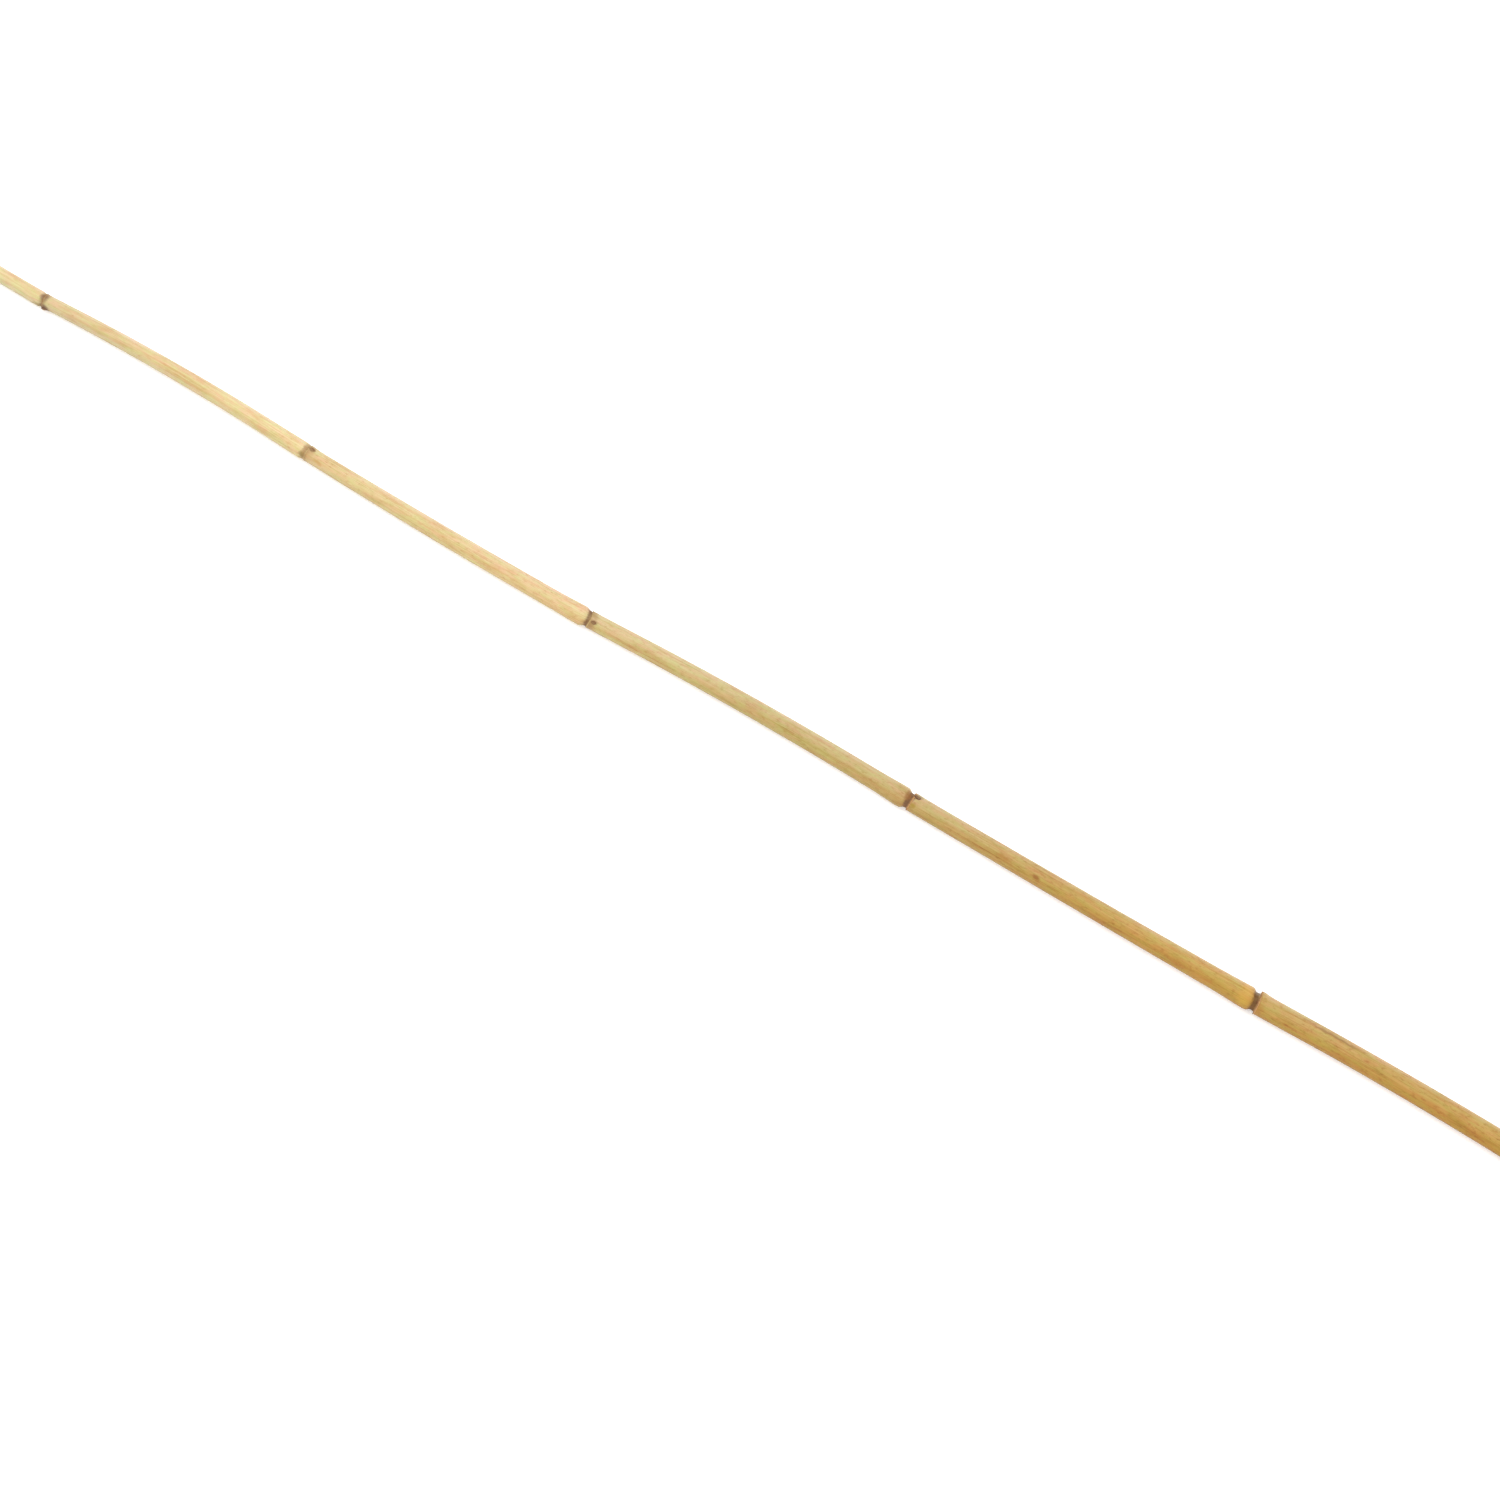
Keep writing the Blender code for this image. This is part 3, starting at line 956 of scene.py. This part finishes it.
def weathered_and_lit_tone(tree, places, share_along):
    """The tone of the skin along the cane, and round it: partly weathering, partly painted sheen,
    reflection and shade.
    """
    tone_places = [
        start + length * share
        for start, length in zip(BOUNDS, STRETCH_LENGTHS)
        for share in TONE_SHARES
    ]
    tones = [tone for stretch in STRETCH_TONES for tone in stretch]
    base = tones_along(tree, places["True along"], tone_places, tones)
    # The upper side is paler, partly sun bleaching and partly a painted sheen, and the other
    # yellower, partly its own tone and partly painted shade
    bleached_and_lit = calc(tree, "MULTIPLY_ADD", facing(tree, places["Around"], SUNNY_AND_LIT_SIDE), 0.5, 0.5)
    shade = blend(tree, share_along, colour(TIP_SHADE), colour(BUTT_SHADE))
    shaded = calc(tree, "SUBTRACT", 1.0, ramp(tree, bleached_and_lit, 0.15, 0.75))
    base = blend(tree, shaded, base, shade, "MULTIPLY")
    base = blend(tree, calc(tree, "MULTIPLY", bleached_and_lit, 0.18), base, colour(BLEACH_AND_SHEEN))
    # The far upper side is greyer, a painted reflection, and so is the near lower one, as painted
    # shade, least at the butt
    lower = facing(tree, places["Around"], LOWER_SHADE_SIDE)
    for mask, low, high, change, at_tip, tone in (
        (bleached_and_lit, 0.80, 1.0, -0.28, 0.38, UPPER_REFLECTION_GREY),
        (lower, 0.3, 0.9, -0.22, 0.22, LOWER_SHADE_GREY),
    ):
        amount = calc(tree, "MULTIPLY_ADD", share_along, change, at_tip)
        amount = calc(tree, "MULTIPLY", ramp(tree, mask, low, high), amount)
        base = blend(tree, amount, base, colour(tone))
    return base


def grained(tree, base, places, grain, share_along):
    """Faint clouds, a duller underside that is painted shade, and the grain, mottling and specks of
    the skin.
    """
    clouds = ramp(tree, grain["Clouds"], 0.3, 0.7)
    tint = blend(tree, clouds, colour(GREENISH), colour(PINKISH))
    base = blend(tree, 1.0, base, tint, "MULTIPLY")
    layers = (
        # Painted shade on the underside
        (facing(tree, places["Around"], SHADED_UNDERSIDE), 0.35, 0.95, 0.8, UNDERSIDE_SHADE),
        (grain["Streaks"], 0.45, 0.80, 0.55, STREAKED),
        (grain["Fibres"], 0.40, 0.80, 0.50, FIBROUS),
        (grain["Hairlines"], 0.58, 0.70, 0.55, LINED),
        (grain["Mottle"], 0.45, 0.80, 0.50, MOTTLED),
    )
    base = add_layers(tree, base, layers, "MULTIPLY")
    # The specks get denser towards the butt
    amount = calc(tree, "MULTIPLY_ADD", share_along, 0.50, 0.12)
    amount = calc(tree, "MULTIPLY", ramp(tree, grain["Specks"], 0.50, 0.72), amount)
    base = blend(tree, amount, base, colour(SPECKED), "MULTIPLY")
    return blend(tree, calc(tree, "MULTIPLY", grain["Flecks"], 0.55), base, colour(OCHRE))


def stained_at_joints(tree, base, places, grain, groups):
    """The brown, the dark ring and the line of dirt and painted shade at each joint, and how dull
    they leave it.
    """
    frays = ramp(tree, grain["Fray"], 0.42, 0.66)
    uneven = ramp(tree, grain["Mottle"], 0.2, 0.6)
    line_along = calc(tree, "MULTIPLY_ADD", grain["Mottle"], 0.8, places["True along"])
    dull = 0.0
    for place, ring in zip(JOINT_PLACES, RINGS):
        band = place_group(
            tree,
            groups["band"],
            {
                "Along": places["Along"],
                "Place": place + ring.past,
                "Half width": ring.half,
                "Softness": ring.soft,
                "Fade to tip": ring.to_tip,
                "Fade to butt": ring.to_butt,
            },
        )
        amount = calc(tree, "MULTIPLY", band["Stain"], calc(tree, "MULTIPLY", uneven, ring.stain))
        base = blend(tree, amount, base, colour(ring.stain_tone))
        amount = calc(tree, "MULTIPLY", band["Ring"], ring.strength)
        base = blend(tree, amount, base, colour(ring.tone))
        frayed = calc(tree, "MULTIPLY", calc(tree, "MULTIPLY", frays, amount), 0.75)
        base = blend(tree, frayed, base, colour(FRAYED), "MULTIPLY")
        # A thin line of dirt and painted shade along the root of the sheath scar
        dirt_and_shade = place_group(
            tree,
            groups["band"],
            {"Along": line_along, "Place": place + DIRT_AND_SHADE_PAST, "Half width": 0.15, "Softness": 0.6},
        )["Ring"]
        dirt_and_shade = calc(tree, "MULTIPLY", dirt_and_shade, ring.strength * 0.5)
        base = blend(tree, dirt_and_shade, base, colour(DIRT_AND_SHADE_TINT), "MULTIPLY")
        dull = calc(tree, "MAXIMUM", dull, amount)
    return base, dull


def spotted(tree, base, places, groups):
    for spot in SPOTS:
        start = 0.0 if spot.joint is None else JOINT_PLACES[spot.joint]
        mask = place_group(
            tree,
            groups["spot"],
            {
                "Along": places["Along"],
                "Around": places["Around"],
                "Place": start + spot.past,
                "Angle": float(spot.angle),
                "Half length": spot.length,
                "Half width": spot.width,
            },
        )["Mask"]
        base = blend(tree, calc(tree, "MULTIPLY", mask, spot.strength), base, colour(spot.tone))
    return base


def skin_material(groups):
    material, tree, shader = bare_material("bamboo skin", 0.42)
    _, places = straight_places(tree, groups)
    grain = place_group(tree, groups["grain"], {"Vector": places["Wrapped"]})
    share_along = calc(tree, "DIVIDE", places["True along"], LENGTH)
    base = weathered_and_lit_tone(tree, places, share_along)
    base = grained(tree, base, places, grain, share_along)
    base, dull = stained_at_joints(tree, base, places, grain, groups)
    base = spotted(tree, base, places, groups)
    rough = calc(tree, "MULTIPLY_ADD", grain["Fibres"], 0.16, 0.32)
    rough = calc(tree, "MULTIPLY_ADD", grain["Mottle"], 0.14, rough)
    rough = calc(tree, "MAXIMUM", rough, calc(tree, "MULTIPLY", dull, 0.9))
    shader.inputs["Specular IOR Level"].default_value = 0.26
    height = calc(tree, "MULTIPLY_ADD", grain["Streaks"], 0.6, grain["Fibres"])
    join_up(tree, shader, base, rough, height, 0.35, 0.0002)
    return material


# From the tip: the root of each sheath scar, its torn edge, and the collar of each branch stub
SCAR_TONES = (DUN, DUN_YELLOW, DUN_YELLOW, TAN, TAN)
TORN_TONES = (SEPIA, DUN, SEPIA, SEPIA, SEPIA)
STUB_TONES = (UMBER, DUN, SEPIA, UMBER, SEPIA)


def scar_material(groups):
    """The papery brown rim that the leaf sheath left."""
    material, tree, shader = bare_material("sheath scar", 0.75)
    straight, places = straight_places(tree, groups)
    grain = place_group(tree, groups["grain"], {"Vector": places["Wrapped"]})
    to_edge = add(tree, "Attribute", attribute_name="to_edge").outputs["Fac"]
    shreds = noise(tree, places["Wrapped"], (5.0, 0.16, 0.16), detail=2.0, roughness=0.6)
    patches = noise(tree, straight, (6.0, 2.2, 2.2), detail=3.0)
    edge = ramp(tree, shaken(tree, to_edge, patches, 0.7), 0.25, 0.95)
    rooted = tones_along(tree, places["True along"], JOINT_PLACES, SCAR_TONES)
    torn = tones_along(tree, places["True along"], JOINT_PLACES, TORN_TONES)
    layers = (
        (patches, 0.40, 0.70, 0.35, SEPIA),
        (grain["Fray"], 0.48, 0.72, 0.50, UMBER),
        (shreds, 0.54, 0.72, 0.30, SHRED),
    )
    base = add_layers(tree, blend(tree, edge, rooted, torn), layers)
    rough = calc(tree, "MULTIPLY_ADD", grain["Fray"], 0.3, 0.6)
    join_up(tree, shader, base, rough, grain["Fray"], 0.6, 0.0003)
    return material


def stub_material(groups):
    """Weathered wood of a trimmed branch: its collar, and the cut face with a dark pith."""
    material, tree, shader = bare_material("branch stub", 0.8)
    straight, places = straight_places(tree, groups)
    from_pith = add(tree, "Attribute", attribute_name="from_pith").outputs["Fac"]
    crumbs = noise(tree, straight, (0.4, 0.3, 0.3), detail=3.0, roughness=0.6)
    blotches = noise(tree, straight, (1.8, 1.0, 1.0), detail=2.0)
    worn = shaken(tree, from_pith, crumbs, 0.30)
    collar = tones_along(tree, places["True along"], JOINT_PLACES, STUB_TONES)
    collar = add_layers(tree, collar, ((blotches, 0.35, 0.65, 0.35, BARK),))
    wood = blend(tree, ramp(tree, blotches, 0.35, 0.65), colour(DUN), colour(SEPIA))
    wood = blend(tree, ramp(tree, worn, 0.34, 0.16), wood, colour(SOOT))
    wood = blend(tree, ramp(tree, worn, 0.70, 0.95), wood, colour(BARK))
    base = blend(tree, ramp(tree, from_pith, 1.05, 1.30), wood, collar)
    base = add_layers(tree, base, ((crumbs, 0.50, 0.70, 0.32, SOOT),))
    rough = calc(tree, "MULTIPLY_ADD", crumbs, 0.3, 0.6)
    join_up(tree, shader, base, rough, crumbs, 0.6, 0.0003)
    return material


def sawn_material(groups):
    """The sawn face: bundles of fibre that crowd towards the skin, and the marks of the saw."""
    material, tree, shader = bare_material("sawn bamboo", 0.8)
    straight, places = straight_places(tree, groups)
    flat = on_vector(tree, "MULTIPLY", {0: straight, 1: (0, 1, 1)})
    outwards = ramp(tree, places["From axis"], 1.8, 6.6)
    bundles = 0.0
    for size, least in ((0.62, 0.0), (0.36, 0.45)):
        scaled = on_vector(tree, "SCALE", {0: flat, "Scale": 1 / (size * MM)})
        cells = add(tree, "TexVoronoi", {"Vector": scaled, "Scale": 1.0, "Randomness": 0.8})
        dots = calc(tree, "SUBTRACT", 1.0, ramp(tree, cells.outputs["Distance"], 0.18, 0.42))
        dots = calc(tree, "MULTIPLY", dots, ramp(tree, outwards, least, least + 0.3))
        bundles = calc(tree, "MAXIMUM", bundles, dots)
    saw = noise(tree, flat, (1.0, 0.22, 9.0), detail=2.0, roughness=0.6)
    dirt_and_shade = noise(tree, flat, (1.0, 2.2, 2.2), detail=3.0)
    base = blend(tree, ramp(tree, dirt_and_shade, 0.35, 0.7), colour(FRESH_WOOD), colour(AGED_WOOD))
    base = blend(tree, calc(tree, "MULTIPLY", bundles, 0.75), base, colour(BUNDLE))
    layers = ((saw, 0.5, 0.75, 0.3, SAW_MARK), (outwards, 0.80, 0.98, 0.5, SAWN_RIM))
    base = add_layers(tree, base, layers)
    rough = calc(tree, "MULTIPLY_ADD", saw, 0.25, 0.62)
    height = calc(tree, "MULTIPLY_ADD", bundles, -0.6, saw)
    join_up(tree, shader, base, rough, height, 0.7, 0.0002)
    return material


def hollow_material(groups):
    """The papery lining of the hollow, with its fine wrinkles along the cane."""
    material, tree, shader = bare_material("bamboo hollow", 0.9)
    straight = add(tree, "Attribute", attribute_name="straight").outputs["Vector"]
    grain = place_group(tree, groups["grain"], {"Vector": straight})
    wrinkles = noise(tree, straight, (7.0, 0.4, 0.4), detail=3.0, roughness=0.6)
    base = blend(tree, ramp(tree, wrinkles, 0.35, 0.7), colour(LINING), colour(DEEP_LINING))
    base = add_layers(tree, base, ((grain["Mottle"], 0.45, 0.7, 0.6, MUSTY),))
    rough = calc(tree, "MULTIPLY_ADD", wrinkles, 0.2, 0.72)
    join_up(tree, shader, base, rough, wrinkles, 0.6, 0.0003)
    return material


# Building


def build_culm(groups, guide):
    culm = straight_tube()
    culm.name = culm.data.name = "culm"
    give_end_faces(culm)
    for make in (skin_material, sawn_material, hollow_material):
        culm.data.materials.append(make(groups))
    apply(culm, "SUBSURF", levels=2, render_levels=2)
    wear_ends(culm)
    bend_and_finish(culm, guide)
    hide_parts("cane")


def build_joint_pieces(groups, guide):
    chance = random.Random(7)
    scars, stubs = scar_material(groups), stub_material(groups)
    for number in range(len(JOINTS)):
        for make, material in ((sheath_scar, scars), (branch_stub, stubs)):
            piece = make(number, chance)
            piece.data.materials.append(material)
            bend_and_finish(piece, guide)


def build_cane():
    groups = {
        "places": cane_places_group(),
        "band": joint_band_group(),
        "spot": spot_group(),
        "grain": grain_group(),
    }
    guide = guide_curve()
    build_culm(groups, guide)
    build_joint_pieces(groups, guide)
    bpy.data.objects.remove(guide)


# Studio


def add_camera():
    bpy.ops.object.camera_add(
        location=CAMERA_PLACE,
        rotation=(math.radians(90 - CAMERA_ELEVATION), 0, math.radians(CAMERA_AZIMUTH)),
    )
    camera = bpy.context.object
    camera.data.lens = FOCAL_LENGTH
    camera.data.sensor_width = SENSOR_WIDTH
    camera.data.clip_start = 0.01
    bpy.context.scene.camera = camera


def add_floor():
    deselect()
    bpy.ops.mesh.primitive_plane_add(size=8.0, location=(0, 0, -0.0002))
    floor = bpy.context.object
    floor.name = "floor"
    bpy.ops.object.transform_apply(location=True, rotation=True, scale=True)
    material, _, shader = bare_material("pale floor", 0.9)
    shader.inputs["Base Color"].default_value = (0.93, 0.93, 0.93, 1.0)
    shader.inputs["Specular IOR Level"].default_value = 0.1
    shader.inputs["Emission Color"].default_value = (1.0, 1.0, 1.0, 1.0)
    shader.inputs["Emission Strength"].default_value = 0.32
    floor.data.materials.append(material)


def add_softbox(name, place, power, size):
    bpy.ops.object.light_add(type="AREA", location=place)
    light = bpy.context.object
    light.name = name
    light.data.energy = power
    light.data.size = size
    light.rotation_euler = (-Vector(place)).to_track_quat("-Z", "Y").to_euler()


def add_lights():
    world = bpy.data.worlds.new("studio")
    world.use_nodes = True
    background = world.node_tree.nodes["Background"]
    background.inputs["Color"].default_value = (1, 1, 1, 1)
    background.inputs["Strength"].default_value = 1.3
    bpy.context.scene.world = world
    add_softbox("key", (-0.9, 0.1, 2.8), 26.0, 2.0)


add_camera()
add_floor()
add_lights()
bpy.context.scene.view_settings.view_transform = "Standard"
build_cane()
